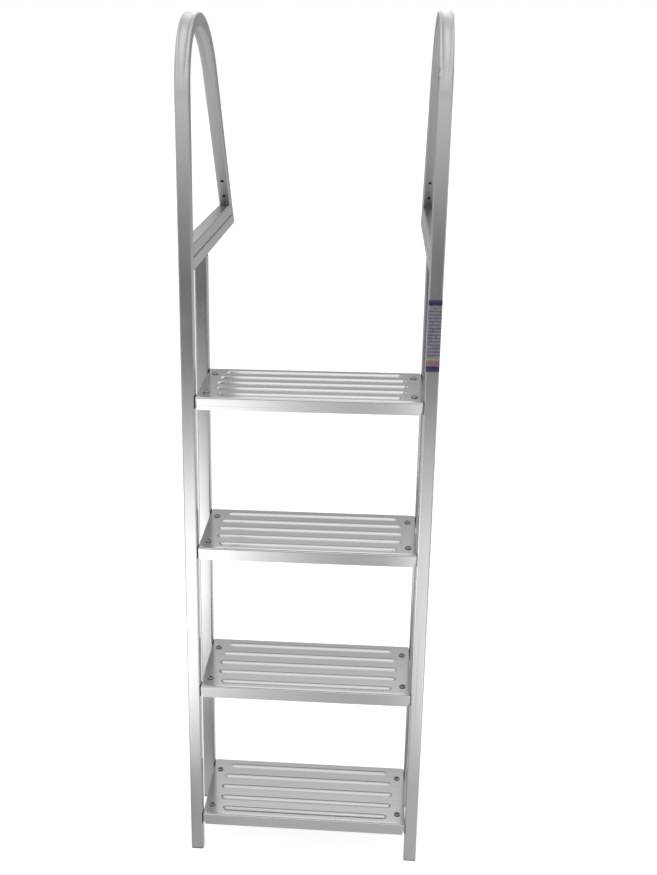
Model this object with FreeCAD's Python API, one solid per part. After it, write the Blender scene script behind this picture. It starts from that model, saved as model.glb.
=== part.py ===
import FreeCAD, Part
import math
import os

# Dock ladder: two bent side rails, four embossed treads and two level deck bars.
# Millimetres. +X runs to the right of a person who climbs, +Y towards the dock, +Z up.
# The ladder is laid out about its middle plane, with y = 0 on the front of the rails and
# z = 0 on the flat underside of the deck bars, and is moved to its origin when it is saved.

# Tube
TUBE = 25.4
TUBE_WALL = 1.8
TUBE_CORNER = 3.2

# Frame
OVERALL_WIDTH = 476.0
RAIL_SPACING = 194.0
STEP_PITCH = 304.8
STEP_COUNT = 4
FIRST_STEP_DROP = 231.0
FOOT_BELOW_LAST_STEP = 86.0

# Handrail loop, along the tube's centre line: a tight front bend runs into a wide rear bend.
# The walls sink most where the two bends meet, and are flat again at their far ends.
BEND_START = 314.0
FRONT_BEND_RADIUS = 116.0
FRONT_BEND_TURN = 79.0
REAR_BEND_RADIUS = 278.0
LEG_LEAN = 39.0
OUTER_WALL_SINK = 5.0
INNER_WALL_SINK = 2.5
SINK_RUN_OUT = 0.15

# Bolt holes in the rear legs, up the leg from the top of the upper bar
BOLT_HOLE = 7.1
PIN_HOLE = 3.8
PIN_HOLE_UP = 7.0
LOWER_HOLE_UP = 26.0
UPPER_HOLE_UP = 71.0

# Treads; the bead ends lie on an arc
SHEET = 2.0
TREAD_END_GAP = 1.5
TREAD_FACE_SETBACK = 1.5
TREAD_FLANGE = 25.4
FOLD_RADIUS = 3.0
FLANGE_END_TAPER = 3.3
FLANGE_LEAN = 4.5
BEAD_COUNT = 5
BEAD_PITCH = 41.0
BEAD_WIDTH = 18.0
BEAD_HEIGHT = 3.0
BEAD_END_INSET = 25.0
BEAD_END_ARC = 300.0

# Tread brackets
BRACKET_LEG = 22.0
BRACKET_DROP = 20.0
BRACKET_SHEET = 2.5
BRACKET_FLANGE_CLEARANCE = 0.5

# Foot plugs
PLUG_RIM = 2.0
PLUG_DEPTH = 18.0
PLUG_CLEARANCE = 0.15

# Worked-out sizes and places
TUBE_BORE = TUBE - 2 * TUBE_WALL
TUBE_FLAT = TUBE / 2.0 - TUBE_CORNER
RAIL_CENTRE_X = (OVERALL_WIDTH - TUBE) / 2.0
RAIL_INNER_X = OVERALL_WIDTH / 2.0 - TUBE
FRAME_DEPTH = RAIL_SPACING + TUBE
LEAN = math.radians(LEG_LEAN)
BENDS_MEET = math.pi - math.radians(FRONT_BEND_TURN)
FOOT_Z = -FIRST_STEP_DROP - (STEP_COUNT - 1) * STEP_PITCH - FOOT_BELOW_LAST_STEP
LOWER_BAR_TOP = TUBE
UPPER_BAR_TOP = 2.0 * TUBE
FAR = 2.0 * (OVERALL_WIDTH + FRAME_DEPTH - FOOT_Z + REAR_BEND_RADIUS)

ORIGIN = FreeCAD.Vector(0, 0, 0)
X_AXIS = FreeCAD.Vector(1, 0, 0)
Y_AXIS = FreeCAD.Vector(0, 1, 0)
Z_AXIS = FreeCAD.Vector(0, 0, 1)
UP_LEG = FreeCAD.Vector(0, -math.sin(LEAN), math.cos(LEAN))
OUT_OF_LEG = FreeCAD.Vector(0, math.cos(LEAN), math.sin(LEAN))
TO_MEETING = FreeCAD.Vector(0, math.cos(BENDS_MEET), math.sin(BENDS_MEET))


def tube_wire(centre, outward):
    """Rounded square round the outside of a tube, with two sides square to `outward`."""
    half = TUBE / 2.0
    shoulder = TUBE_FLAT + TUBE_CORNER * math.sqrt(0.5)

    def at(across, out):
        return centre + X_AXIS * across + outward * out

    edges = []
    quarter = [(1, 0), (0, 1), (-1, 0), (0, -1), (1, 0)]
    for (ax, ao), (bx, bo) in zip(quarter, quarter[1:]):
        sx, so = ax + bx, ao + bo
        leave = at(sx * TUBE_FLAT + ax * TUBE_CORNER, so * TUBE_FLAT + ao * TUBE_CORNER)
        arrive = at(sx * TUBE_FLAT + bx * TUBE_CORNER, so * TUBE_FLAT + bo * TUBE_CORNER)
        edges.append(Part.Arc(leave, at(sx * shoulder, so * shoulder), arrive).toShape())
        edges.append(Part.makeLine(arrive, at(bx * half - bo * TUBE_FLAT, bo * half + bx * TUBE_FLAT)))
    return Part.Wire(edges)


def box_wire(centre, outward, width, height):
    """Rectangle, `width` along X and `height` along `outward`."""
    across, out = X_AXIS * (width / 2.0), outward * (height / 2.0)
    corners = [centre - across - out, centre + across - out, centre + across + out, centre - across + out]
    return Part.makePolygon(corners + corners[:1])


def straight_tube(start, end, outward):
    """Hollow square tube between two points of its centre line."""
    run = end - start
    outside = Part.Face(tube_wire(start, outward)).extrude(run)
    return outside.cut(Part.Face(box_wire(start, outward, TUBE_BORE, TUBE_BORE)).extrude(run))


def sweep_bend(wire, pivot, first_angle, last_angle):
    """Solid swept by a section as it turns about an axis along X; angles are from +Y."""
    turn = last_angle - first_angle
    axis = X_AXIS if turn > 0 else -X_AXIS
    return Part.Face(wire).revolve(pivot, axis, abs(math.degrees(turn)))


def dish_wire(wall_middle, inward, depth):
    """Half-round section that sinks a wall by `depth`; its round side faces `inward`."""
    bar = (TUBE_FLAT ** 2 + depth ** 2) / (2.0 * depth)
    centre = wall_middle - inward * (bar - depth)
    left, right = (centre + X_AXIS * way * bar for way in (-1, 1))
    round_side = Part.Arc(left, centre + inward * bar, right).toShape()
    return Part.Wire([round_side, Part.makeLine(right, left)])


def bent_tube(pivot, radius, far_angle):
    """Hollow tube from where the bends meet to the far end of one bend, with its walls sunken.

    The outside gets a dish and the bore is as much lower. Both are cut by a section that turns
    about a pivot off the bend's own, so that it is deepest where the bends meet and has just
    left the wall at `far_angle`.
    """
    middle = pivot + TO_MEETING * radius
    outside = sweep_bend(tube_wire(middle, TO_MEETING), pivot, BENDS_MEET, far_angle)
    bore_section = box_wire(middle, TO_MEETING, TUBE_BORE, TUBE_BORE)
    bore = sweep_bend(bore_section, pivot, BENDS_MEET, far_angle)
    for wall, depth in ((1, OUTER_WALL_SINK), (-1, INNER_WALL_SINK)):
        shift = -wall * (depth + SINK_RUN_OUT) / (1.0 - math.cos(BENDS_MEET - far_angle))
        sink_pivot = pivot + TO_MEETING * shift
        towards_wall = TO_MEETING * wall
        dish = dish_wire(middle + towards_wall * (TUBE / 2.0), -towards_wall, depth)
        outside = outside.cut(sweep_bend(dish, sink_pivot, BENDS_MEET, far_angle))
        slab_middle = middle + towards_wall * (TUBE_BORE - depth)
        slab = box_wire(slab_middle, TO_MEETING, TUBE, TUBE_BORE)
        bore = bore.cut(sweep_bend(slab, sink_pivot, BENDS_MEET, far_angle))
    return outside.cut(bore)


def half_space(point, outward):
    """Large block on the side of a plane that `outward` points to."""
    block = Part.makeBox(FAR, FAR, FAR, FreeCAD.Vector(-FAR / 2, -FAR / 2, 0))
    turn = FreeCAD.Placement(point, FreeCAD.Rotation(Z_AXIS, outward))
    block.Placement = turn.multiply(block.Placement)
    return block


def loop_path(x):
    """Start of the front bend, the two pivots and the start of the leg, on the centre line."""
    start = FreeCAD.Vector(x, TUBE / 2.0, BEND_START)
    front_pivot = start + Y_AXIS * FRONT_BEND_RADIUS
    rear_pivot = front_pivot + TO_MEETING * (FRONT_BEND_RADIUS - REAR_BEND_RADIUS)
    leg_start = rear_pivot + OUT_OF_LEG * REAR_BEND_RADIUS
    return start, front_pivot, rear_pivot, leg_start


def leg_meets(z, offset):
    """Point where the leg's centre line, moved out by `offset`, passes height z."""
    start = loop_path(-RAIL_CENTRE_X)[-1] + OUT_OF_LEG * offset
    return start - UP_LEG * ((start.z - z) / UP_LEG.z)


def leg_hole(diameter, up):
    """Drill through both walls of the leg, `up` the leg from the upper bar's top."""
    mouth = leg_meets(UPPER_BAR_TOP, -TUBE / 2.0) + UP_LEG * up
    clear = TUBE / 2.0
    start = mouth - OUT_OF_LEG * clear
    return Part.makeCylinder(diameter / 2.0, TUBE + 2 * clear, start, OUT_OF_LEG)


def handrail_tube():
    """Left side: front tube from the foot, bent over into the loop and down as the rear leg."""
    start, front_pivot, rear_pivot, leg_start = loop_path(-RAIL_CENTRE_X)
    foot = FreeCAD.Vector(start.x, start.y, FOOT_Z + PLUG_RIM)
    leg = straight_tube(leg_start, leg_meets(-TUBE, 0), OUT_OF_LEG)
    leg = leg.cut(half_space(leg_meets(LOWER_BAR_TOP, 0), -Z_AXIS))
    pieces = [
        straight_tube(foot, start, -Y_AXIS),
        bent_tube(front_pivot, FRONT_BEND_RADIUS, math.pi),
        bent_tube(rear_pivot, REAR_BEND_RADIUS, LEAN),
        leg,
    ]
    rail = pieces[0].multiFuse(pieces[1:])
    holes = [
        leg_hole(PIN_HOLE, PIN_HOLE_UP),
        leg_hole(BOLT_HOLE, LOWER_HOLE_UP),
        leg_hole(BOLT_HOLE, UPPER_HOLE_UP),
    ]
    return rail.cut(holes).removeSplitter()


def rear_tube():
    """Left rear tube, from its foot up to the underside of the deck bar."""
    top = FreeCAD.Vector(-RAIL_CENTRE_X, RAIL_SPACING + TUBE / 2.0, 0)
    foot = top + Z_AXIS * (FOOT_Z + PLUG_RIM)
    return straight_tube(foot, top, -Y_AXIS)


def deck_bar():
    """Left lower bar: butts the front tube and is mitred to the leg's rear face, with a closed end.

    It is divided at the rear tube, so that the seat on the deck behind it is a face of its own.
    """
    rear = leg_meets(0, TUBE / 2.0)
    beyond_rear = half_space(rear, OUT_OF_LEG)
    start = FreeCAD.Vector(-RAIL_CENTRE_X, TUBE, TUBE / 2.0)
    parting = FreeCAD.Vector(start.x, FRAME_DEPTH, start.z)
    end = FreeCAD.Vector(start.x, rear.y, start.z)
    solid_bar = Part.Face(tube_wire(parting, Z_AXIS)).extrude(end - parting)
    cap = solid_bar.cut(beyond_rear).common(half_space(rear - OUT_OF_LEG * TUBE_WALL, OUT_OF_LEG))
    seat = straight_tube(parting, end, Z_AXIS).cut(beyond_rear).fuse(cap).removeSplitter()
    return straight_tube(start, parting, Z_AXIS).fuse(seat)


def brace_bar():
    """Left upper bar: stands on the deck bar, between the front tube and the leg."""
    z = LOWER_BAR_TOP + TUBE / 2.0
    front_face = leg_meets(UPPER_BAR_TOP, -TUBE / 2.0)
    reach = leg_meets(LOWER_BAR_TOP, -TUBE / 2.0)
    start = FreeCAD.Vector(-RAIL_CENTRE_X, TUBE, z)
    end = FreeCAD.Vector(-RAIL_CENTRE_X, reach.y + TUBE, z)
    return straight_tube(start, end, Z_AXIS).cut(half_space(front_face, OUT_OF_LEG))


def foot_plug(y):
    """Left plug with a square rim, pushed into the foot of the tube whose centre is at y."""
    base = FreeCAD.Vector(-RAIL_CENTRE_X, y, FOOT_Z)
    shoulder = base + Z_AXIS * PLUG_RIM
    inside = TUBE_BORE - 2 * PLUG_CLEARANCE
    rim = Part.Face(tube_wire(base, Y_AXIS)).extrude(Z_AXIS * PLUG_RIM)
    body = Part.Face(box_wire(shoulder, Y_AXIS, inside, inside)).extrude(Z_AXIS * PLUG_DEPTH)
    return rim.fuse(body)


def folded_sheet(half_length):
    """Channel folded from sheet, its top at z = 0, open below; the flanges lean in as they fall."""
    fold = math.radians(90.0 + FLANGE_LEAN)
    front_top = TREAD_FACE_SETBACK + FOLD_RADIUS
    middle = FRAME_DEPTH / 2.0
    flange_down = FreeCAD.Vector(0, -math.cos(fold), -math.sin(fold))

    def round_fold(radius, angle):
        """Point of the fold at `radius` from its centre, `angle` on from straight up."""
        across = -radius * math.sin(angle)
        return FreeCAD.Vector(-half_length, front_top + across, radius * math.cos(angle) - FOLD_RADIUS)

    def opposite(point):
        """The same point of the rear flange."""
        return FreeCAD.Vector(point.x, 2 * middle - point.y, point.z)

    outside, inside = FOLD_RADIUS, FOLD_RADIUS - SHEET
    run = (TREAD_FLANGE + round_fold(outside, fold).z) / -flange_down.z
    profile = [
        round_fold(outside, 0),
        round_fold(outside, fold / 2.0),
        round_fold(outside, fold),
        round_fold(outside, fold) + flange_down * run,
        round_fold(inside, fold) + flange_down * run,
        round_fold(inside, fold),
        round_fold(inside, fold / 2.0),
        round_fold(inside, 0),
    ]
    edges = []
    for points in (profile, [opposite(point) for point in profile]):
        outer_top, outer_mid, outer_end, outer_tip, inner_tip, inner_end, inner_mid, inner_top = points
        edges += [
            Part.Arc(outer_top, outer_mid, outer_end).toShape(),
            Part.makeLine(outer_end, outer_tip),
            Part.makeLine(outer_tip, inner_tip),
            Part.makeLine(inner_tip, inner_end),
            Part.Arc(inner_end, inner_mid, inner_top).toShape(),
        ]
    edges.append(Part.makeLine(profile[0], opposite(profile[0])))
    edges.append(Part.makeLine(profile[-1], opposite(profile[-1])))
    outline = Part.Wire(Part.__sortEdges__(edges))
    return Part.Face(outline).extrude(X_AXIS * (2 * half_length))


def flange_end_cut(half_length):
    """Wedge that takes the flanges' left ends in towards the bottom."""
    corner = FreeCAD.Vector(-half_length, 0, -FOLD_RADIUS)
    low = FreeCAD.Vector(-half_length, 0, -TREAD_FLANGE)
    tucked = low + X_AXIS * FLANGE_END_TAPER
    return Part.Face(Part.makePolygon([corner, low, tucked, corner])).extrude(Y_AXIS * FRAME_DEPTH)


def bead_capsule(y, half_length, radius, centre_z):
    """Round bar with ball ends, lying along X; the balls' seams are underneath."""
    left_end = FreeCAD.Vector(-half_length, y, centre_z)
    right_end = FreeCAD.Vector(half_length, y, centre_z)
    run = Part.makeCylinder(radius, 2 * half_length, left_end, X_AXIS)
    balls = [Part.makeSphere(radius, end, -X_AXIS) for end in (left_end, right_end)]
    return run.multiFuse(balls)


def tread():
    """Embossed tread with its top at z = 0: five raised beads, pressed up out of the sheet."""
    half_length = RAIL_INNER_X - TREAD_END_GAP
    body = folded_sheet(half_length)
    wedge = flange_end_cut(half_length)
    body = body.cut([wedge, wedge.mirror(ORIGIN, X_AXIS)])
    half_width = BEAD_WIDTH / 2.0
    crown = (half_width ** 2 + BEAD_HEIGHT ** 2) / (2.0 * BEAD_HEIGHT)
    centre_z = BEAD_HEIGHT - crown
    mid_sheet = FreeCAD.Vector(-OVERALL_WIDTH / 2.0, 0, -SHEET / 2.0)
    above = Part.makeBox(OVERALL_WIDTH, FRAME_DEPTH, crown, mid_sheet)
    for i in range(BEAD_COUNT):
        off_middle = (i - (BEAD_COUNT - 1) / 2.0) * BEAD_PITCH
        arc_rise = BEAD_END_ARC - math.sqrt(BEAD_END_ARC ** 2 - off_middle ** 2)
        y = FRAME_DEPTH / 2.0 + off_middle
        run = half_length - BEAD_END_INSET - arc_rise - half_width
        body = body.fuse(bead_capsule(y, run, crown, centre_z).common(above))
        body = body.cut(bead_capsule(y, run, crown - SHEET, centre_z))
    return body.removeSplitter()


def tread_bracket():
    """Left angle under a tread's end, on the inner faces of the front and rear tubes."""
    flange_reach = (BRACKET_DROP + SHEET) * math.tan(math.radians(FLANGE_LEAN)) + SHEET
    start = TREAD_FACE_SETBACK + max(FOLD_RADIUS, flange_reach) + BRACKET_FLANGE_CLEARANCE
    length = FRAME_DEPTH - 2 * start
    top = FreeCAD.Vector(-RAIL_INNER_X, start, -SHEET)
    ledge_corner = top - Z_AXIS * BRACKET_SHEET
    wall_corner = top - Z_AXIS * BRACKET_DROP
    ledge = Part.makeBox(BRACKET_LEG, length, BRACKET_SHEET, ledge_corner)
    wall = Part.makeBox(BRACKET_SHEET, length, BRACKET_DROP, wall_corner)
    return ledge.fuse(wall).removeSplitter()


def save(shape, node):
    """Write a piece out, with the origin on the middle of the left deck bar's seat."""
    seat_middle = (FRAME_DEPTH + leg_meets(0, TUBE / 2.0).y) / 2.0
    placed = shape.copy()
    placed.translate(FreeCAD.Vector(RAIL_CENTRE_X, -seat_middle, 0))
    placed.exportStep("parts/" + node + ".step")


def save_pair(shape, name):
    """Write a left piece and its mirror image."""
    save(shape, "left_" + name)
    save(shape.mirror(ORIGIN, X_AXIS), "right_" + name)


os.makedirs("parts", exist_ok=True)
save_pair(handrail_tube(), "handrail_tube")
save_pair(rear_tube(), "rear_tube")
save_pair(deck_bar(), "deck_bar")
save_pair(brace_bar(), "brace_bar")
save_pair(foot_plug(TUBE / 2.0), "front_foot_plug")
save_pair(foot_plug(RAIL_SPACING + TUBE / 2.0), "rear_foot_plug")
step = tread()
bracket = tread_bracket()
for number in range(1, STEP_COUNT + 1):
    drop = FreeCAD.Vector(0, 0, -FIRST_STEP_DROP - (number - 1) * STEP_PITCH)
    tread_here = step.copy()
    tread_here.translate(drop)
    save(tread_here, "tread_%d" % number)
    bracket_here = bracket.copy()
    bracket_here.translate(drop)
    save_pair(bracket_here, "bracket_%d" % number)
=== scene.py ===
import math

import bmesh
import bpy
import numpy as np
from bpy.props import FloatProperty, FloatVectorProperty, PointerProperty
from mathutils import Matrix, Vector


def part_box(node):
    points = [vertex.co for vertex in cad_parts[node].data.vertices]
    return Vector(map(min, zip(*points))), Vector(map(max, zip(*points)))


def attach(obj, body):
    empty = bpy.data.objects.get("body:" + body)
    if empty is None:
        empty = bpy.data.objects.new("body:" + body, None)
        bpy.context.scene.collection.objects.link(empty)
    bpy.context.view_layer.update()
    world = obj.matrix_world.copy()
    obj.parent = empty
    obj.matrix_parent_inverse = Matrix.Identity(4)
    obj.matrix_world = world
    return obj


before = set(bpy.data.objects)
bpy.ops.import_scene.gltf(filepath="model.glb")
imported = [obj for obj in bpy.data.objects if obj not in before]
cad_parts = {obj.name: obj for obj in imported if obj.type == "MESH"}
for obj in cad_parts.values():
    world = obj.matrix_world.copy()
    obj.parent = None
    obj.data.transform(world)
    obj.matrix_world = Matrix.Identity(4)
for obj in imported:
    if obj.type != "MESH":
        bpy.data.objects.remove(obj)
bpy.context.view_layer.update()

bl_info = {
    "name": "Dock ladder",
    "version": (1, 0, 0),
    "blender": (4, 5, 0),
    "location": "View3D > Sidebar > Dock ladder",
    "description": "Aluminium dock ladder: satin metal, tread screws, a plain label and a studio",
    "category": "Object",
}

SIDES = ("left", "right")
TREADS = ("tread_1", "tread_2", "tread_3", "tread_4")

# Places read from the frame: the right tube's sides, the front of the tubes and the floor
TUBE_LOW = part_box("right_brace_bar")[0]
TUBE_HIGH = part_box("right_brace_bar")[1]
TUBE_WIDTH = TUBE_HIGH.x - TUBE_LOW.x
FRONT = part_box("right_deck_bar")[0].y - TUBE_WIDTH
FLOOR_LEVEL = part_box("right_front_foot_plug")[0].z
TUBE_FOOT = Vector((0.0, FRONT, FLOOR_LEVEL))

# Where the floor that the metal mirrors is dimmest, in a painted shadow: beside the left tube's
# foot
DIM_FLOOR = (TUBE_FOOT + Vector((-0.15, -0.12, 0.0))).to_tuple()

# Points nearer than this are one, and edges that turn by more than this are sharp
WELD = 1e-7
SHARP = math.radians(38.0)

# Each drawn metal's lines per metre along x, y and z, their contrast and the depth of their relief
DRAWN_LINES = {
    "satin_upright_tube": ((900.0, 200.0, 5.0), 0.06, 0.00001),
    "satin_level_bar": ((900.0, 6.0, 900.0), 0.06, 0.00002),
    "brushed_tread_sheet": ((7.0, 700.0, 700.0), 0.08, 0.00002),
    "mill_finish_angle": ((700.0, 8.0, 700.0), 0.10, 0.00002),
    "stainless_screw": ((400.0, 400.0, 400.0), 0.12, 0.00002),
}

# Noises: scale, detail, roughness and distortion. Lines and scratches have their scale from
# DRAWN_LINES, and that of the others is per metre.
LINE_NOISE = (1.0, 3.0, 0.6)
SCRATCH_NOISE = (1.0, 1.0, 0.5, 0.3)
PATCH_NOISE = (9.0, 2.0)
PIT_NOISE = (2200.0, 2.0)
WOBBLE_NOISE = (900.0, 1.0)
RUB_NOISE = (160.0, 4.0, 0.65)

# How many scratches there may be for each line along x, y and z, and the part of their noise from
# which a peak is a scratch, and past which it is a full one
SCRATCH_DENSITY = (0.37, 0.41, 0.39)
SCRATCH_FROM, SCRATCH_FULL = 0.66, 0.76

# Roughness of the screws and plugs, and how much duller the brackets are than the tubes
SCREW_ROUGHNESS = 0.25
PLUG_ROUGHNESS = 0.55
BRACKET_DULLER = 0.05

# How strongly the moulded plugs' pits show, and their depth
PIT_STRENGTH = 0.4
PIT_DEPTH = 0.00004

# Upward part of the normal from which, and past which, a surface counts as the top of a tread
UP_FROM, UP_TO = 0.55, 0.75

# Heights between which the handrail tube's straight front turns into its duller bend, and how many
# tube widths behind the front the leg starts
BEND_FROM, BEND_TO = 0.29, 0.33
LEG_BEHIND = 1.5

# Depth of the strip of painted shade beside the end of a tread, from the top down, its roughness,
# and how far the face that it lies on is turned to the middle of the ladder
SHADE_STRIP_DEPTH = 0.0262
SHADE_STRIP_ROUGHNESS = 0.85
TURNED_INWARDS = 0.5

# Length of a tread's top, from its nose, that belongs to the fold and not to the beads
FOLD_REACH = 0.014

# Part of that length, from the nose, over which the shine rolls forward, how far it leans, and how
# much a surface faces up where it does
NOSE_FROM, NOSE_TO = 0.0055, 0.0105
NOSE_LEAN = 0.125
NOSE_FACES_UP = 0.9

# Points around a screw head and rings from its rim to its middle, how steeply the arms of its
# recess run in, how far up its rise the rim's painted shade goes, as one part in so many, and the
# seed of the turns
HEAD_POINTS = (72, 30)
ARM_SLOPE = 2.2
RIM_SHADE = 3.0
TURN_SEED = 7

# Rows of points up the label and points round each of its corners
LABEL_ROWS = 40
LABEL_CORNER_POINTS = 8

# Shares of the label's length above the lower band where the bar starts and ends and the lines
# start, and below the upper band where they end
BAR_FROM, BAR_TO = 0.008, 0.077
LINES_FROM, LINES_TO = 0.115, 0.062

# Lines that the label's length would hold, how much of each is printed, and its wobble in lines
LABEL_LINES = 21.5
LINE_SHARE = 0.5
WOBBLE = 0.3

# Part of the rub marks' noise that counts on the film, and the roughness that it gives
RUB_RANGE = (0.35, 0.7)
FILM_ROUGHNESS = (0.24, 0.42)

BLACK, WHITE = (0.0, 0.0, 0.0, 1.0), (1.0, 1.0, 1.0, 1.0)


class MetalSettings(bpy.types.PropertyGroup):
    tube_colour: FloatVectorProperty(
        name="Tube colour", description="Satin aluminium of the tubes and bars",
        default=(0.395, 0.40, 0.40), size=3, subtype="COLOR", min=0.0, max=1.0)
    tube_roughness: FloatProperty(
        name="Tube roughness", description="Spread of the reflections on the tubes",
        default=0.24, min=0.0, max=1.0)
    bend_roughness: FloatProperty(
        name="Bend roughness", description="Spread of the reflections in the bend and on the leg",
        default=0.40, min=0.0, max=1.0)
    tread_colour: FloatVectorProperty(
        name="Tread colour", description="Bright sheet of the treads",
        default=(0.415, 0.42, 0.425), size=3, subtype="COLOR", min=0.0, max=1.0)
    bead_softness: FloatProperty(
        name="Bead softness", description="How far the beads' slopes are eased in their shine",
        default=0.64, min=0.0, max=1.0)
    tread_roughness: FloatProperty(
        name="Tread roughness", description="Spread of the reflections on the treads",
        default=0.17, min=0.0, max=1.0)
    # Seam half width and seam shade set the painted shade in the groove where the two bars meet
    seam_half: FloatProperty(
        name="Seam half width", description="Grime each side of the joint between the bars",
        default=0.0024, min=0.0, unit="LENGTH")
    seam_shade: FloatProperty(
        name="Seam shade", description="Share of the colour that is left in the joint",
        default=0.25, min=0.0, max=1.0)
    plug_colour: FloatVectorProperty(
        name="Plug colour", description="Moulded plug in each foot",
        default=(0.018, 0.018, 0.019), size=3, subtype="COLOR", min=0.0, max=1.0)


class ScrewSettings(bpy.types.PropertyGroup):
    head: FloatProperty(
        name="Head", description="Diameter of a pan head", default=0.0134, min=0.002, unit="LENGTH")
    rise: FloatProperty(
        name="Rise", description="Height of a pan head above the tread",
        default=0.0034, min=0.0005, unit="LENGTH")
    recess_length: FloatProperty(
        name="Recess length", description="Tip to tip size of the cross recess",
        default=0.0088, min=0.001, unit="LENGTH")
    recess_width: FloatProperty(
        name="Recess width", description="Width of one arm of the cross recess",
        default=0.0029, min=0.0002, unit="LENGTH")
    recess_depth: FloatProperty(
        name="Recess depth", description="Depth at the middle of the recess",
        default=0.0028, min=0.0002, unit="LENGTH")
    from_end: FloatProperty(
        name="From the end", description="Screw to the tread's end",
        default=0.0145, min=0.0, unit="LENGTH")
    from_front: FloatProperty(
        name="From the front", description="Front screw to the tread's nose",
        default=0.037, min=0.0, unit="LENGTH")
    from_back: FloatProperty(
        name="From the back", description="Rear screw to the tread's back edge",
        default=0.043, min=0.0, unit="LENGTH")
    bead_rise: FloatProperty(
        name="Bead rise", description="How far the tread's beads stand above its flat",
        default=0.003, min=0.0, unit="LENGTH")
    colour: FloatVectorProperty(
        name="Colour", description="Stainless steel of the screws",
        default=(0.24, 0.24, 0.235), size=3, subtype="COLOR", min=0.0, max=1.0)
    # Recess shade is the painted shade in the recess and at the foot of the rim
    recess_shade: FloatProperty(
        name="Recess shade", description="Share of the colour that is left in the grimy recess",
        default=0.05, min=0.0, max=1.0)


class LabelSettings(bpy.types.PropertyGroup):
    top: FloatProperty(
        name="Top", description="Upper edge, above the deck", default=-0.0398, unit="LENGTH")
    bottom: FloatProperty(
        name="Bottom", description="Lower edge, above the deck", default=-0.1722, unit="LENGTH")
    thickness: FloatProperty(
        name="Thickness", description="Thickness of the printed film",
        default=0.00015, min=0.00002, unit="LENGTH")
    lift: FloatProperty(
        name="Lift", description="Glue under the film", default=0.00005, min=0.0, unit="LENGTH")
    corner: FloatProperty(
        name="Corner", description="Radius of the tube's corners",
        default=0.0032, min=0.0, unit="LENGTH")
    wrap: FloatProperty(
        name="Wrap", description="How far round the corners the film goes",
        default=math.radians(60.0), min=0.0, subtype="ANGLE")
    end_band: FloatProperty(
        name="End band", description="Height of the dark band at each end",
        default=0.0107, min=0.0, unit="LENGTH")
    band_colour: FloatVectorProperty(
        name="Band colour", description="Dark bands at the ends",
        default=(0.013, 0.013, 0.11), size=3, subtype="COLOR", min=0.0, max=1.0)
    field_colour: FloatVectorProperty(
        name="Field colour", description="Metal seen through the clear film between the bands",
        default=(0.28, 0.29, 0.31), size=3, subtype="COLOR", min=0.0, max=1.0)
    line_colour: FloatVectorProperty(
        name="Line colour", description="Thin plain lines across the clear field",
        default=(0.13, 0.14, 0.18), size=3, subtype="COLOR", min=0.0, max=1.0)
    bar_colour: FloatVectorProperty(
        name="Bar colour", description="Thin bar over the lower band",
        default=(0.33, 0.13, 0.14), size=3, subtype="COLOR", min=0.0, max=1.0)


class StudioSettings(bpy.types.PropertyGroup):
    floor_size: FloatProperty(
        name="Floor size", description="Width of the pale floor",
        default=60.0, min=1.0, unit="LENGTH")
    floor_colour: FloatVectorProperty(
        name="Floor colour", description="Pale floor",
        default=(0.62, 0.62, 0.62), size=3, subtype="COLOR", min=0.0, max=1.0)
    floor_glow: FloatProperty(
        name="Floor glow", description="What the camera sees on top of the floor's own light",
        default=0.80, min=0.0)
    # Floor near the feet, further off and the reach set the painted shadow of the ladder in the
    # glow that the metal sees
    floor_near: FloatProperty(
        name="Floor near the feet", description="What the metal sees on top, right beside the feet",
        default=0.15, min=0.0)
    floor_far: FloatProperty(
        name="Floor further off", description="What the metal sees on top, away from the feet",
        default=0.54, min=0.0)
    floor_reach: FloatProperty(
        name="Reach of the feet", description="Distance over which that second glow grows",
        default=0.30, min=0.01, unit="LENGTH")
    world_level: FloatProperty(
        name="World level", description="Light of the room on the ladder", default=0.65, min=0.0)
    lens: FloatProperty(
        name="Lens", description="Focal length of the camera in millimetres",
        default=51.189, min=1.0)
    before_tubes: FloatProperty(
        name="Before the tubes", description="Camera to the front of the tubes",
        default=2.2193, min=0.1, unit="LENGTH")


GROUPS = (
    ("ladder_metal", MetalSettings),
    ("ladder_screws", ScrewSettings),
    ("ladder_label", LabelSettings),
    ("ladder_studio", StudioSettings),
)

# The camera's place across and up, its turns in degrees, its shift, its sensor in millimetres and
# how far it sees
CAMERA_ACROSS, CAMERA_UP = 0.3524, 0.3999
CAMERA_TURN = (70.2393, 0.0609, 5.5641)
CAMERA_SHIFT = (0.0783, 0.0544)
SENSOR_WIDTH = 36.0
CAMERA_REACH = 200.0

# Soft lamps: name, place from the front of the tubes at floor level, aim, width and height, watts
LAMPS = (
    ("overhead", (0.1, -0.36, 3.53), (0.1, -0.36, 0.0), (3.0, 2.8), 19.0),
    ("back_bank", (0.12, 2.34, 2.74), (0.12, 0.0, 2.74), (1.60, 1.18), 3.8),
)

# Cards that only reflections see. An upright one has its place behind the front of the tubes,
# half its width, its height, and its level at heights above the floor.
UPRIGHT_CARDS = (
    ("front_card", -2.76, 3.0, 3.4,
     ((0.0, 1.05), (0.2, 0.50), (0.36, 0.22), (0.78, 0.14), (1.0, 0.45), (1.22, 1.05), (1.5, 1.45),
      (2.2, 1.25), (2.75, 1.25), (2.95, 2.0), (3.4, 2.0))),
    ("back_card", 3.44, 6.0, 3.4,
     ((0.0, 0.72), (0.6, 0.62), (1.5, 0.32), (1.79, 0.30), (1.86, 0.60), (2.0, 0.68), (2.15, 0.98),
      (2.32, 1.36))),
)

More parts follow.
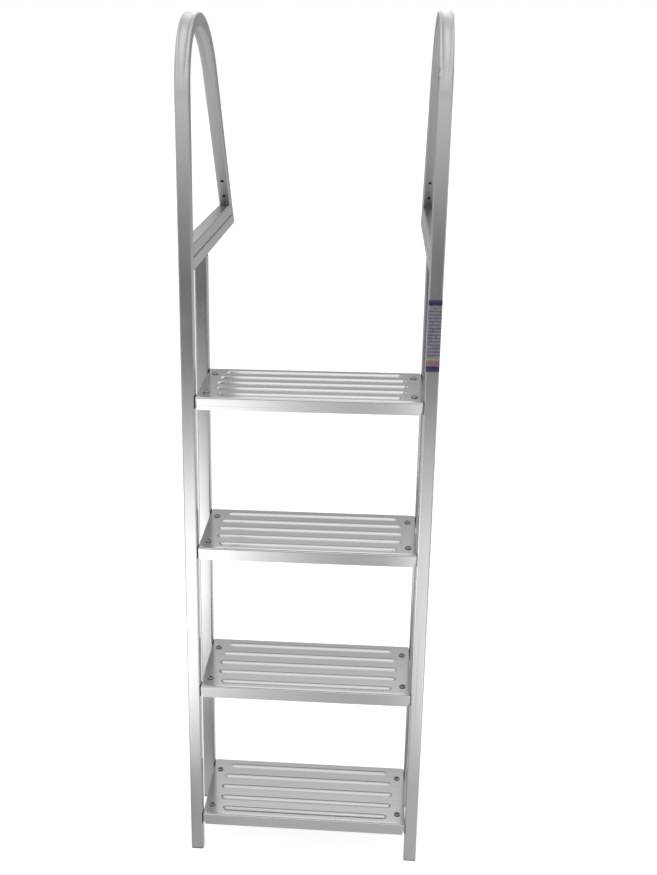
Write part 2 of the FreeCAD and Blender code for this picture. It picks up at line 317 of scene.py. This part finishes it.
# The low card lies in front of the feet, a little above the floor. Its level changes from side to
# side, and fades to 1 towards its near and its far edge.
LOW_CARD_ABOVE = 0.02
LOW_CARD_ACROSS = (
    (-1.2, 3.4), (-0.16, 3.3), (-0.05, 2.15), (0.03, 1.65), (0.12, 1.22), (0.2, 1.0), (0.3, 0.80),
    (0.40, 0.80), (0.455, 1.35), (0.49, 1.95), (0.55, 2.5), (1.0, 2.6))
LOW_CARD_AWAY = (
    (0.28, 0.0), (0.35, 0.25), (0.45, 0.5), (0.6, 0.88), (0.8, 1.0), (1.65, 1.0), (1.9, 0.8),
    (2.15, 0.65), (2.4, 0.32), (2.72, 0.0))


def settings(name):
    """One of the groups of settings in GROUPS."""
    return getattr(bpy.context.scene, name)


def feed(tree, made, *ordered, **named):
    """Feeds a node's first inputs in order, and others by name, with "_" for a space.

    An input is fed a number, a colour or a vector, or the output of another node.
    """
    slots = [*zip(made.inputs, ordered)]
    slots += [(made.inputs[name.replace("_", " ")], value) for name, value in named.items()]
    for slot, value in slots:
        if isinstance(value, bpy.types.NodeSocket):
            tree.links.new(value, slot)
        else:
            slot.default_value = value


def node(tree, kind, place, *ordered, **named):
    """Adds and feeds a node; a value named in_... is for that input, and others are attributes."""
    made = tree.nodes.new(kind)
    made.location = place
    inputs = {}
    for key, value in named.items():
        if key.startswith("in_"):
            inputs[key[3:]] = value
        else:
            setattr(made, key, value)
    feed(tree, made, *ordered, **inputs)
    return made


def math_node(tree, operation, place, *fed, clamp=False):
    """The result of an operation on numbers."""
    made = node(tree, "ShaderNodeMath", place, *fed, operation=operation, use_clamp=clamp)
    return made.outputs[0]


def vector_node(tree, operation, place, *fed, **named):
    """The result of an operation on vectors or colours."""
    made = node(tree, "ShaderNodeVectorMath", place, *fed, operation=operation, **named)
    return made.outputs["Value" if operation == "DISTANCE" else "Vector"]


def mapped(tree, place, value, start, end, low=0.0, high=1.0, kind="LINEAR"):
    """Goes from `low` to `high` while a value goes from `start` to `end`."""
    made = node(tree, "ShaderNodeMapRange", place, value, start, end, low, high,
                interpolation_type=kind)
    return made.outputs["Result"]


def noise(tree, place, vector, scale, detail, roughness=0.5, distortion=0.0):
    """Noise from 0 to 1, mostly near a half."""
    made = node(tree, "ShaderNodeTexNoise", place, in_Vector=vector, in_Scale=scale,
                in_Detail=detail, in_Roughness=roughness, in_Distortion=distortion)
    return made.outputs["Fac"]


def ramp(tree, place, value, stops, kind="LINEAR"):
    """Colours at rising places from 0 to 1."""
    made = node(tree, "ShaderNodeValToRGB", place, value)
    made.color_ramp.interpolation = kind
    held = made.color_ramp.elements
    held[0].position, held[0].color = stops[0]
    held[1].position, held[1].color = stops[-1]
    for position, colour in stops[1:-1]:
        held.new(position).color = colour
    return made.outputs["Color"]


def on_object(tree, place):
    """The Object coordinates, which are metres in the frame."""
    return node(tree, "ShaderNodeTexCoord", place).outputs["Object"]


def split(tree, place, vector):
    """The x, y and z of a vector."""
    return node(tree, "ShaderNodeSeparateXYZ", place, vector).outputs


def emptied(holder):
    """The node tree of a new material or world, with nothing in it."""
    holder.use_nodes = True
    holder.node_tree.nodes.clear()
    return holder.node_tree


def fresh_material(name):
    """A material with a Principled shader joined to its output."""
    material = bpy.data.materials.new(name)
    tree = emptied(material)
    shader = node(tree, "ShaderNodeBsdfPrincipled", (300, 0))
    node(tree, "ShaderNodeOutputMaterial", (600, 0), shader.outputs["BSDF"])
    return material, tree, shader


def joined(tree, name):
    """The output that feeds an input of a material's Principled shader."""
    return tree.nodes["Principled BSDF"].inputs[name].links[0].from_socket


def shade(tree, place, share):
    """Leaves a share of the colour that a material has."""
    colour = vector_node(tree, "SCALE", place, joined(tree, "Base Color"), in_Scale=share)
    feed(tree, tree.nodes["Principled BSDF"], Base_Color=colour)


def drawn_metal_group():
    """Lines left by the die or the brush, and the dull patches that handling leaves.

    Stretched noise gives the lines, and its rare peaks give scratches. Broad noise gives the
    patches. The group puts out a colour, a roughness and a height.
    """
    tree = bpy.data.node_groups.new("drawn_metal", "ShaderNodeTree")
    face = tree.interface
    for name, kind, default in (
        ("Stretch", "NodeSocketVector", (1.0, 1.0, 1.0)),
        ("Colour", "NodeSocketColor", (0.5, 0.5, 0.5, 1.0)),
        ("Line contrast", "NodeSocketFloat", 0.06),
        ("Patch contrast", "NodeSocketFloat", 0.05),
        ("Roughness", "NodeSocketFloat", 0.3),
        ("Roughness change", "NodeSocketFloat", 0.10),
        ("Scratches", "NodeSocketFloat", 0.10),
    ):
        socket = face.new_socket(name=name, in_out="INPUT", socket_type=kind)
        socket.default_value = default
    for name, kind in (
        ("Colour", "NodeSocketColor"),
        ("Roughness", "NodeSocketFloat"),
        ("Height", "NodeSocketFloat"),
    ):
        face.new_socket(name=name, in_out="OUTPUT", socket_type=kind)
    given = node(tree, "NodeGroupInput", (-900, 0)).outputs
    place = on_object(tree, (-900, -300))
    drawn = vector_node(tree, "MULTIPLY", (-650, -100), place, given["Stretch"])
    lines = noise(tree, (-450, -100), drawn, *LINE_NOISE)
    patches = noise(tree, (-450, -400), place, *PATCH_NOISE)

    def centred(source, amount, at):
        """(source - 0.5) times an input."""
        off = math_node(tree, "SUBTRACT", at, source, 0.5)
        return math_node(tree, "MULTIPLY", (at[0] + 180, at[1]), off, amount)

    line_shade = centred(lines, given["Line contrast"], (-200, 200))
    patch_shade = centred(patches, given["Patch contrast"], (-200, 0))
    rough_shift = centred(patches, given["Roughness change"], (-200, -200))
    rarer = vector_node(tree, "MULTIPLY", (-650, -600), drawn, SCRATCH_DENSITY)
    streaks = noise(tree, (-450, -600), rarer, *SCRATCH_NOISE)
    marks = mapped(tree, (-250, -600), streaks, SCRATCH_FROM, SCRATCH_FULL)
    scratch = math_node(tree, "MULTIPLY", (-50, -600), marks, given["Scratches"])
    both = math_node(tree, "ADD", (0, 250), line_shade, patch_shade)
    less = math_node(tree, "SUBTRACT", (150, 150), both, scratch)
    level = math_node(tree, "ADD", (300, 150), less, 1.0)
    colour = vector_node(tree, "SCALE", (450, 200), given["Colour"], in_Scale=level)
    worn = math_node(tree, "ADD", (150, -250), rough_shift, scratch)
    rough = math_node(tree, "ADD", (300, -100), given["Roughness"], worn)
    node(tree, "NodeGroupOutput", (700, 0), colour, rough, lines)


def drawn_metal(name, colour, roughness):
    """Metal with the lines that DRAWN_LINES has under its name."""
    lines, contrast, relief = DRAWN_LINES[name]
    material, tree, shader = fresh_material(name)
    group = node(tree, "ShaderNodeGroup", (-200, 0), node_tree=bpy.data.node_groups["drawn_metal"])
    feed(tree, group, Stretch=lines, Colour=(*colour, 1.0), Roughness=roughness,
         Line_contrast=contrast)
    bump = node(tree, "ShaderNodeBump", (50, -250), in_Strength=1.0, in_Distance=relief,
                in_Height=group.outputs["Height"])
    feed(tree, shader, Metallic=1.0, Base_Color=group.outputs["Colour"],
         Roughness=group.outputs["Roughness"], Normal=bump.outputs["Normal"])
    return material


def eased_beads(material, softness, start):
    """Eases the shine of pressed beads: the level parts of the normal shrink where it points up.

    The stretched sheet rounds off over the die, so the slopes shine as if they were flatter. The
    fold at the nose, in front of y = start, isn't eased. Where it still faces up, its normal leans
    forward, by more towards the nose, as the sheet rolls over before its fold.
    """
    tree = material.node_tree
    surface = node(tree, "ShaderNodeNewGeometry", (-900, -500)).outputs["Normal"]
    x, y, z = split(tree, (-700, -500), surface)
    along = split(tree, (-900, -800), on_object(tree, (-1100, -800)))["Y"]
    top = math_node(tree, "GREATER_THAN", (-700, -800), along, start)
    eased = mapped(tree, (-650, -650), z, UP_FROM, UP_TO, 0.0, -softness, "SMOOTHSTEP")
    keep = math_node(tree, "MULTIPLY_ADD", (-450, -700), eased, top, 1.0)
    nose = start - FOLD_REACH
    roll = mapped(tree, (-650, -950), along, nose + NOSE_FROM, nose + NOSE_TO, -NOSE_LEAN, 0.0,
                  "SMOOTHSTEP")
    faces_up = math_node(tree, "GREATER_THAN", (-650, -1200), z, NOSE_FACES_UP)
    lean = math_node(tree, "MULTIPLY", (-450, -950), roll, faces_up)
    side = math_node(tree, "MULTIPLY", (-300, -450), x, keep)
    front = math_node(tree, "MULTIPLY_ADD", (-300, -600), y, keep, lean)
    leaning = node(tree, "ShaderNodeCombineXYZ", (-120, -500), side, front, z).outputs[0]
    feed(tree, tree.nodes["Bump"], Normal=vector_node(tree, "NORMALIZE", (0, -500), leaning))


def painted_seam_shade(material, height, half, remaining):
    """Paints shade on a metal round one height, where two bars meet in a narrow groove."""
    tree = material.node_tree
    z = split(tree, (-550, 400), on_object(tree, (-700, 400)))["Z"]
    off = math_node(tree, "SUBTRACT", (-400, 400), z, height)
    away = math_node(tree, "ABSOLUTE", (-250, 400), off)
    kept = mapped(tree, (-100, 400), away, half / 2.0, half, remaining, 1.0, "SMOOTHSTEP")
    shade(tree, (100, 300), kept)


def dulled_bend(material, straight, bent):
    """Raises the roughness where the handrail tube is bent, and in its leg behind the front."""
    tree = material.node_tree
    place = split(tree, (-850, 300), on_object(tree, (-1000, 300)))
    high = mapped(tree, (-700, 400), place["Z"], BEND_FROM, BEND_TO, kind="SMOOTHSTEP")
    start = FRONT + LEG_BEHIND * TUBE_WIDTH
    behind = math_node(tree, "GREATER_THAN", (-700, 150), place["Y"], start)
    above = math_node(tree, "GREATER_THAN", (-700, 0), place["Z"], 0.0)
    leg = math_node(tree, "MULTIPLY", (-550, 100), behind, above)
    either = math_node(tree, "MAXIMUM", (-400, 300), high, leg)
    rough = mapped(tree, (-380, 100), either, 0.0, 1.0, straight, bent)
    feed(tree, tree.nodes["Group"], Roughness=rough)


def painted_contact_shade(material, middle, top, pitch):
    """Painted shade on the inner faces of the tubes, beside the treads' ends.

    It lies where fract((top - z) / pitch) is small, below the first top, on the faces whose normal
    points at the middle, which is where (middle - x) * normal x is large.
    """
    tree = material.node_tree
    place = split(tree, (-850, -500), on_object(tree, (-1000, -500)))
    surface = node(tree, "ShaderNodeNewGeometry", (-1000, -800)).outputs["Normal"]
    across = split(tree, (-850, -800), surface)["X"]
    below = math_node(tree, "SUBTRACT", (-700, -500), top, place["Z"])
    counted = math_node(tree, "DIVIDE", (-550, -500), below, pitch)
    share = math_node(tree, "FRACT", (-400, -500), counted)
    beside = math_node(tree, "LESS_THAN", (-250, -500), share, SHADE_STRIP_DEPTH / pitch)
    under = math_node(tree, "GREATER_THAN", (-550, -650), below, 0.0)
    inwards = math_node(tree, "SUBTRACT", (-700, -800), middle, place["X"])
    facing = math_node(tree, "MULTIPLY", (-550, -800), inwards, across)
    inner = math_node(tree, "GREATER_THAN", (-400, -800), facing, middle * TURNED_INWARDS)
    there = math_node(tree, "MULTIPLY", (-100, -550), beside, under)
    # Painted shade: the strip beside each tread's end turns dark, rough and not metallic
    shade_strip = math_node(tree, "MULTIPLY", (50, -550), there, inner)
    unshaded = math_node(tree, "SUBTRACT", (200, -550), 1.0, shade_strip)
    rough = node(tree, "ShaderNodeMix", (150, 100), in_Factor=shade_strip, in_A=joined(tree, "Roughness"),
                 in_B=SHADE_STRIP_ROUGHNESS)
    shade(tree, (150, 300), unshaded)
    feed(tree, tree.nodes["Principled BSDF"], Roughness=rough.outputs["Result"], Metallic=unshaded)


def screw_steel(colour, remaining):
    """Drawn metal with painted shade in the recess and at the rim's foot, by the piece's own recess
    attribute.
    """
    material = drawn_metal("stainless_screw", colour, SCREW_ROUGHNESS)
    tree = material.node_tree
    depth = node(tree, "ShaderNodeAttribute", (-200, 300), attribute_name="recess").outputs["Fac"]
    shade(tree, (150, 200), mapped(tree, (0, 300), depth, 0.0, 1.0, 1.0, remaining))
    return material


def moulded_plastic(name, colour, roughness):
    """Plastic with the fine pitted texture of a spark-eroded mould."""
    material, tree, shader = fresh_material(name)
    pits = noise(tree, (-400, 0), on_object(tree, (-600, 0)), *PIT_NOISE)
    bump = node(tree, "ShaderNodeBump", (0, -200), in_Strength=PIT_STRENGTH, in_Distance=PIT_DEPTH,
                in_Height=pits)
    feed(tree, shader, Base_Color=(*colour, 1.0), Roughness=roughness,
         Normal=bump.outputs["Normal"])
    return material


def dress(names, material):
    """Gives CAD nodes one material."""
    for name in names:
        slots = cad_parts[name].data.materials
        slots.clear()
        slots.append(material)


def add_piece(name, points, faces, material, masks=()):
    """Makes a smooth mesh piece that rides on the ladder; `masks` are named values per point.

    Points that fall together, at the poles, are welded, and the faces are turned outwards.
    """
    mesh = bpy.data.meshes.new(name)
    mesh.from_pydata(points.tolist(), [], faces.tolist())
    for mask, values in masks:
        mesh.attributes.new(mask, "FLOAT", "POINT").data.foreach_set("value", values)
    shape = bmesh.new()
    shape.from_mesh(mesh)
    bmesh.ops.remove_doubles(shape, verts=shape.verts, dist=WELD)
    bmesh.ops.recalc_face_normals(shape, faces=shape.faces)
    shape.to_mesh(mesh)
    shape.free()
    mesh.shade_smooth()
    mesh.set_sharp_from_angle(angle=SHARP)
    mesh.materials.append(material)
    piece = bpy.data.objects.new(name, mesh)
    bpy.context.scene.collection.objects.link(piece)
    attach(piece, "root")
    return piece


def grid_faces(rows, columns, closed):
    """Quads of a grid of points; a closed grid joins its last column to its first."""
    row = np.arange(rows - 1)[:, None] * columns
    column = np.arange(columns if closed else columns - 1)[None, :]
    ahead = (column + 1) % columns
    quads = [row + column, row + ahead, row + columns + ahead, row + columns + column]
    return np.stack(quads, axis=-1).reshape(-1, 4)


def pan_head(chosen, turn):
    """Pan head with a cross recess, standing on z = 0: its points, and how dark each is with
    painted shade.

    On a polar grid, from the middle of the underside to the rim and over the top to the middle,
    the height is rise * sqrt(1 - (r / R)^4), less a cross, and never under a tenth of the rise.
    Each arm of the cross is depth * (1 - (2 across / width)^4) * slope * (1 - 2 along / length),
    kept between nought and its depth. Painted shade fills the cross, and the foot of the rim, where
    the head meets the sheet.
    """
    around, rings = HEAD_POINTS
    radius = chosen.head / 2.0
    ring = np.concatenate([[0.0], np.sin(np.linspace(math.pi / 2.0, 0.0, rings))])
    r = radius * ring[:, None]
    angle = np.linspace(0.0, 2.0 * math.pi, around, endpoint=False)[None, :]
    x, y = r * np.cos(angle), r * np.sin(angle)
    dome = chosen.rise * np.sqrt(1.0 - (np.hypot(x, y) / radius).clip(0.0, 1.0) ** 4)

    def arm(along, across):
        wall = np.clip(1.0 - (2.0 * across / chosen.recess_width) ** 4, 0.0, 1.0)
        run = ARM_SLOPE - 2.0 * ARM_SLOPE * np.abs(along) / chosen.recess_length
        return wall * np.clip(run, 0.0, 1.0)

    cross = np.maximum(arm(x, y), arm(y, x))
    z = np.maximum(dome - chosen.recess_depth * cross, chosen.rise / 10.0)
    z[:2] = 0.0
    # Painted shade: the cross recess, and the rim's foot where the head meets the sheet, turn dark
    painted_shade = np.maximum(cross, np.clip(1.0 - RIM_SHADE * z / chosen.rise, 0.0, 1.0))
    turned_x = x * math.cos(turn) - y * math.sin(turn)
    turned_y = x * math.sin(turn) + y * math.cos(turn)
    return np.stack([turned_x, turned_y, z], axis=-1), painted_shade


class LADDER_OT_metal(bpy.types.Operator):
    """Give the tubes, bars, treads, brackets and plugs their finish"""
    bl_idname = "ladder.metal"
    bl_label = "Finish the metal"

    def execute(self, context):
        chosen = settings("ladder_metal")
        drawn_metal_group()
        tube, tread = tuple(chosen.tube_colour), tuple(chosen.tread_colour)
        rough = chosen.tube_roughness
        first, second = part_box("tread_1"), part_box("tread_2")
        middle, pitch = (first[0].x + first[1].x) / 2.0, first[1].z - second[1].z
        upright = drawn_metal("satin_upright_tube", tube, rough)
        dulled_bend(upright, rough, chosen.bend_roughness)
        painted_contact_shade(upright, middle, first[1].z, pitch)
        level = drawn_metal("satin_level_bar", tube, rough)
        painted_seam_shade(level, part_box("left_brace_bar")[0].z, chosen.seam_half, chosen.seam_shade)
        sheet = drawn_metal("brushed_tread_sheet", tread, chosen.tread_roughness)
        eased_beads(sheet, chosen.bead_softness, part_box("tread_1")[0].y + FOLD_REACH)
        angle = drawn_metal("mill_finish_angle", tube, rough + BRACKET_DULLER)
        plug = moulded_plastic("moulded_foot_plug", tuple(chosen.plug_colour), PLUG_ROUGHNESS)
        for side in SIDES:
            dress([f"{side}_handrail_tube", f"{side}_rear_tube"], upright)
            dress([f"{side}_deck_bar", f"{side}_brace_bar"], level)
            dress([f"{side}_bracket_{i + 1}" for i in range(len(TREADS))], angle)
            dress([f"{side}_front_foot_plug", f"{side}_rear_foot_plug"], plug)
        dress(TREADS, sheet)
        return {"FINISHED"}


class LADDER_OT_screws(bpy.types.Operator):
    """Set four pan head screws into the corners of each tread"""
    bl_idname = "ladder.screws"
    bl_label = "Add the tread screws"

    def execute(self, context):
        chosen = settings("ladder_screws")
        steel = screw_steel(tuple(chosen.colour), chosen.recess_shade)
        turns = np.random.default_rng(TURN_SEED).uniform(0.0, math.pi / 2.0, (len(TREADS), 4))
        for tread, tread_turns in zip(TREADS, turns):
            low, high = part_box(tread)
            ends = (low.x + chosen.from_end, high.x - chosen.from_end)
            depths = (low.y + chosen.from_front, high.y - chosen.from_back)
            places = [(x, y, high.z - chosen.bead_rise) for x in ends for y in depths]
            heads = [pan_head(chosen, turn) for turn in tread_turns]
            set_down = [head + place for (head, dark), place in zip(heads, places)]
            points = np.concatenate([head.reshape(-1, 3) for head in set_down])
            rings, around = heads[0][1].shape
            one = grid_faces(rings, around, True)
            starts = np.arange(len(places)) * rings * around
            quads = np.concatenate([one + start for start in starts])
            painted_shade = np.concatenate([dark.ravel() for head, dark in heads])
            add_piece(f"{tread}_screws", points, quads, steel, (("recess", painted_shade),))
        return {"FINISHED"}


class LADDER_OT_label(bpy.types.Operator):
    """Lay a plain banded label on the front of the right tube"""
    bl_idname = "ladder.label"
    bl_label = "Add the label"

    def execute(self, context):
        chosen = settings("ladder_label")
        profile = self.profile(chosen)
        heights = np.linspace(chosen.bottom, chosen.top, LABEL_ROWS)
        across = np.broadcast_to(profile[None, :, :], (len(heights), len(profile), 2))
        up = np.broadcast_to(heights[:, None, None], (len(heights), len(profile), 1))
        points = np.concatenate([across, up], axis=-1).reshape(-1, 3)
        faces = grid_faces(len(heights), len(profile), False)
        piece = add_piece("tube_label", points, faces, self.film(chosen))
        wall = piece.modifiers.new("film", "SOLIDIFY")
        wall.thickness = chosen.thickness
        wall.offset = 1.0
        return {"FINISHED"}

    @staticmethod
    def profile(chosen):
        """The film in plan: reach * (sin a, -cos a) round both corners, and straight between."""
        corner, reach = chosen.corner, chosen.corner + chosen.lift
        lean = np.linspace(0.0, chosen.wrap, LABEL_CORNER_POINTS)
        out, back = reach * np.sin(lean), FRONT + corner - reach * np.cos(lean)
        left = np.stack([TUBE_LOW.x + corner - out, back], axis=-1)
        right = np.stack([TUBE_HIGH.x - corner + out, back], axis=-1)
        return np.concatenate([left[::-1], right])

    @staticmethod
    def film(chosen):
        """Clear film with printed bands, by height, and thin plain lines across its clear field.

        A line lies wherever the height, counted in lines, has a small enough remainder.
        """
        material, tree, shader = fresh_material("printed_film")
        place = on_object(tree, (-1300, 0))
        z = split(tree, (-1100, 0), place)["Z"]
        share = mapped(tree, (-900, 0), z, chosen.bottom, chosen.top)
        end = chosen.end_band / (chosen.top - chosen.bottom)
        bar_from, bar_to, top = end + BAR_FROM, end + BAR_TO, 1.0 - end
        band, field, bar, line = ((*tuple(c), 1.0) for c in (
            chosen.band_colour, chosen.field_colour, chosen.bar_colour, chosen.line_colour))
        bands = ramp(tree, (-600, 200), share, (
            (0.0, band), (end, field), (bar_from, bar), (bar_to, field), (top, band)), "CONSTANT")
        clear = ramp(tree, (-600, -50), share, (
            (0.0, BLACK), (end, WHITE), (bar_from, BLACK), (bar_to, WHITE), (top, BLACK)),
            "CONSTANT")
        lined = ramp(tree, (-600, -300), share, (
            (0.0, BLACK), (end + LINES_FROM, WHITE), (top - LINES_TO, BLACK)), "CONSTANT")
        counted = math_node(tree, "MULTIPLY", (-600, -550), share, LABEL_LINES)
        grain = noise(tree, (-1100, -600), place, *WOBBLE_NOISE)
        wobble = math_node(tree, "MULTIPLY", (-750, -700), grain, WOBBLE)
        wobbled = math_node(tree, "ADD", (-450, -550), counted, wobble)
        remainder = math_node(tree, "FRACT", (-300, -550), wobbled)
        thin = math_node(tree, "LESS_THAN", (-150, -550), remainder, LINE_SHARE)
        lines = math_node(tree, "MULTIPLY", (0, -400), thin, lined)
        colour = node(tree, "ShaderNodeMix", (150, 150), data_type="RGBA", in_Factor=lines)
        under, over = [socket for socket in colour.inputs if socket.type == "RGBA"]
        mixed, = [socket for socket in colour.outputs if socket.type == "RGBA"]
        tree.links.new(bands, under)
        over.default_value = line
        metal = math_node(tree, "SUBTRACT", (150, -200), clear, lines, clamp=True)
        rubs = noise(tree, (-600, -850), place, *RUB_NOISE)
        rough = mapped(tree, (-350, -850), rubs, *RUB_RANGE, *FILM_ROUGHNESS)
        feed(tree, shader, Base_Color=mixed, Metallic=metal, Roughness=rough)
        return material


class LADDER_OT_studio(bpy.types.Operator):
    """Set the floor, the lamps, the room and the camera"""
    bl_idname = "ladder.studio"
    bl_label = "Set the studio"

    def execute(self, context):
        chosen = settings("ladder_studio")
        scene = context.scene
        scene.view_settings.view_transform = "Standard"
        self.floor(chosen)
        for name, away, half, height, levels in UPRIGHT_CARDS:
            self.upright_card(name, FRONT + away, half, height, levels)
        self.low_card()
        self.room(scene, chosen)
        for name, place, aim, size, power in LAMPS:
            self.lamp(scene, name, Vector(place) + TUBE_FOOT, Vector(aim) + TUBE_FOOT, size, power)
        self.camera(scene, chosen)
        return {"FINISHED"}

    @staticmethod
    def camera(scene, chosen):
        """The photograph's camera."""
        camera = bpy.data.objects.new("camera", bpy.data.cameras.new("camera"))
        camera.data.lens = chosen.lens
        camera.data.sensor_width = SENSOR_WIDTH
        camera.data.shift_x, camera.data.shift_y = CAMERA_SHIFT
        camera.data.clip_end = CAMERA_REACH
        camera.location = (CAMERA_ACROSS, FRONT - chosen.before_tubes, CAMERA_UP)
        camera.rotation_euler = [math.radians(turn) for turn in CAMERA_TURN]
        scene.collection.objects.link(camera)
        scene.camera = camera

    @staticmethod
    def panel(name, corners, material):
        """Flat stage piece."""
        mesh = bpy.data.meshes.new(name)
        mesh.from_pydata(corners, [], [(0, 1, 2, 3)])
        mesh.materials.append(material)
        piece = bpy.data.objects.new(name, mesh)
        bpy.context.scene.collection.objects.link(piece)
        return piece

    def floor(self, chosen):
        """Pale floor under the feet, which keeps the ladder's shadow.

        The camera sees it white. The metal sees a glow of its own, dimmer near the feet: a painted
        shadow of the ladder.
        """
        material = bpy.data.materials.new("pale_floor")
        tree = emptied(material)
        rays = node(tree, "ShaderNodeLightPath", (-600, -300)).outputs
        camera = math_node(tree, "MULTIPLY", (-200, -100), rays["Is Camera Ray"], chosen.floor_glow)
        metal = math_node(tree, "ADD", (-400, -300), rays["Is Glossy Ray"],
                          rays["Is Transmission Ray"], clamp=True)
        place = on_object(tree, (-800, -550))
        away = vector_node(tree, "DISTANCE", (-600, -550), place, DIM_FLOOR)
        level = mapped(tree, (-400, -550), away, 0.0, chosen.floor_reach, chosen.floor_near,
                       chosen.floor_far, "SMOOTHSTEP")
        shown = math_node(tree, "MULTIPLY", (-200, -400), metal, level)
        total = math_node(tree, "ADD", (0, -200), camera, shown)
        matt = node(tree, "ShaderNodeBsdfDiffuse", (150, 100), (*tuple(chosen.floor_colour), 1.0))
        glow = node(tree, "ShaderNodeEmission", (150, -100), WHITE, total)
        both = node(tree, "ShaderNodeAddShader", (400, 0), matt.outputs[0], glow.outputs[0])
        node(tree, "ShaderNodeOutputMaterial", (600, 0), both.outputs[0])
        half = chosen.floor_size / 2.0
        around = ((-half, -half), (half, -half), (half, half), (-half, half))
        self.panel("floor", [(x, y, FLOOR_LEVEL) for x, y in around], material)

    @staticmethod
    def level_ramp(tree, value, levels, at):
        """Turns a height or distance into a level, straight from each stop to the next."""
        first, last = levels[0][0], levels[-1][0]
        brightest = max(level for place, level in levels)
        share = mapped(tree, at, value, first, last)
        stops = [((place - first) / (last - first), (level / brightest,) * 3 + (1.0,))
                 for place, level in levels]
        grey = ramp(tree, (at[0] + 200, at[1]), share, stops)
        return math_node(tree, "MULTIPLY", (at[0] + 450, at[1]), grey, brightest)

    @staticmethod
    def glowing(name):
        """Material that gives light of a strength that is still to be fed, and its coordinates."""
        material = bpy.data.materials.new(name)
        tree = emptied(material)
        places = split(tree, (-600, 0), on_object(tree, (-800, 0)))
        glow = node(tree, "ShaderNodeEmission", (600, 0), WHITE)
        node(tree, "ShaderNodeOutputMaterial", (800, 0), glow.outputs[0])
        return material, tree, places, glow

    def upright_card(self, name, y, half, height, levels):
        """Upright card whose level changes with the height."""
        material, tree, places, glow = self.glowing(name)
        heights = [(FLOOR_LEVEL + up, level) for up, level in levels]
        feed(tree, glow, Strength=self.level_ramp(tree, places["Z"], heights, (-300, 0)))
        low, top = FLOOR_LEVEL, FLOOR_LEVEL + height
        corners = [(-half, y, low), (half, y, low), (half, y, top), (-half, y, top)]
        self.for_reflections(self.panel(name, corners, material))

    def low_card(self):
        """Low card in front of the feet: 1 + (level across - 1) * share by distance."""
        material, tree, places, glow = self.glowing("low_card")
        across = self.level_ramp(tree, places["X"], LOW_CARD_ACROSS, (-300, 200))
        shares = [(FRONT - away, share) for away, share in reversed(LOW_CARD_AWAY)]
        away = self.level_ramp(tree, places["Y"], shares, (-300, -200))
        above = math_node(tree, "SUBTRACT", (250, 200), across, 1.0)
        feed(tree, glow, Strength=math_node(tree, "MULTIPLY_ADD", (420, 0), above, away, 1.0))
        left, right = LOW_CARD_ACROSS[0][0], LOW_CARD_ACROSS[-1][0]
        near, far = FRONT - LOW_CARD_AWAY[0][0], FRONT - LOW_CARD_AWAY[-1][0]
        z = FLOOR_LEVEL + LOW_CARD_ABOVE
        corners = [(left, far, z), (right, far, z), (right, near, z), (left, near, z)]
        self.for_reflections(self.panel("low_card", corners, material))

    @staticmethod
    def for_reflections(card):
        """Hides a card from all but reflections."""
        card.visible_camera = card.visible_diffuse = card.visible_shadow = False

    @staticmethod
    def room(scene, chosen):
        """Even pale room; the camera, reflections and refractions see it white."""
        world = bpy.data.worlds.new("room")
        scene.world = world
        tree = emptied(world)
        rays = node(tree, "ShaderNodeLightPath", (-500, 0)).outputs
        mirrored = math_node(tree, "ADD", (-300, 0), rays["Is Camera Ray"], rays["Is Glossy Ray"],
                             clamp=True)
        seen = math_node(tree, "ADD", (-150, 0), mirrored, rays["Is Transmission Ray"], clamp=True)
        level = mapped(tree, (100, 0), seen, 0.0, 1.0, chosen.world_level, 1.0)
        light = node(tree, "ShaderNodeBackground", (400, 0), WHITE, level)
        node(tree, "ShaderNodeOutputWorld", (600, 0), light.outputs[0])

    @staticmethod
    def lamp(scene, name, place, aim, size, power):
        """Soft rectangular lamp, turned from its place towards a point."""
        light = bpy.data.lights.new(name, "AREA")
        light.shape = "RECTANGLE"
        light.size, light.size_y = size
        light.energy = power
        lamp = bpy.data.objects.new(name, light)
        lamp.location = place
        lamp.rotation_euler = (aim - place).to_track_quat("-Z", "Y").to_euler()
        lamp.visible_camera = False
        scene.collection.objects.link(lamp)


class LADDER_PT_panel(bpy.types.Panel):
    bl_idname = "LADDER_PT_panel"
    bl_label = "Dock ladder"
    bl_space_type = "VIEW_3D"
    bl_region_type = "UI"
    bl_category = "Dock ladder"

    def draw(self, context):
        column = self.layout.column()
        for name, group in GROUPS:
            held = getattr(context.scene, name)
            for key in group.__annotations__:
                column.prop(held, key)
        for step in STEPS:
            column.operator(step.bl_idname)


STEPS = (LADDER_OT_metal, LADDER_OT_screws, LADDER_OT_label, LADDER_OT_studio)


def register():
    for name, group in GROUPS:
        bpy.utils.register_class(group)
        setattr(bpy.types.Scene, name, PointerProperty(type=group))
    for step in STEPS:
        bpy.utils.register_class(step)
    bpy.utils.register_class(LADDER_PT_panel)


def unregister():
    bpy.utils.unregister_class(LADDER_PT_panel)
    for step in reversed(STEPS):
        bpy.utils.unregister_class(step)
    for name, group in reversed(GROUPS):
        delattr(bpy.types.Scene, name)
        bpy.utils.unregister_class(group)


def main():
    register()
    bpy.ops.ladder.metal()
    bpy.ops.ladder.screws()
    bpy.ops.ladder.label()
    bpy.ops.ladder.studio()


if __name__ == "__main__":
    main()
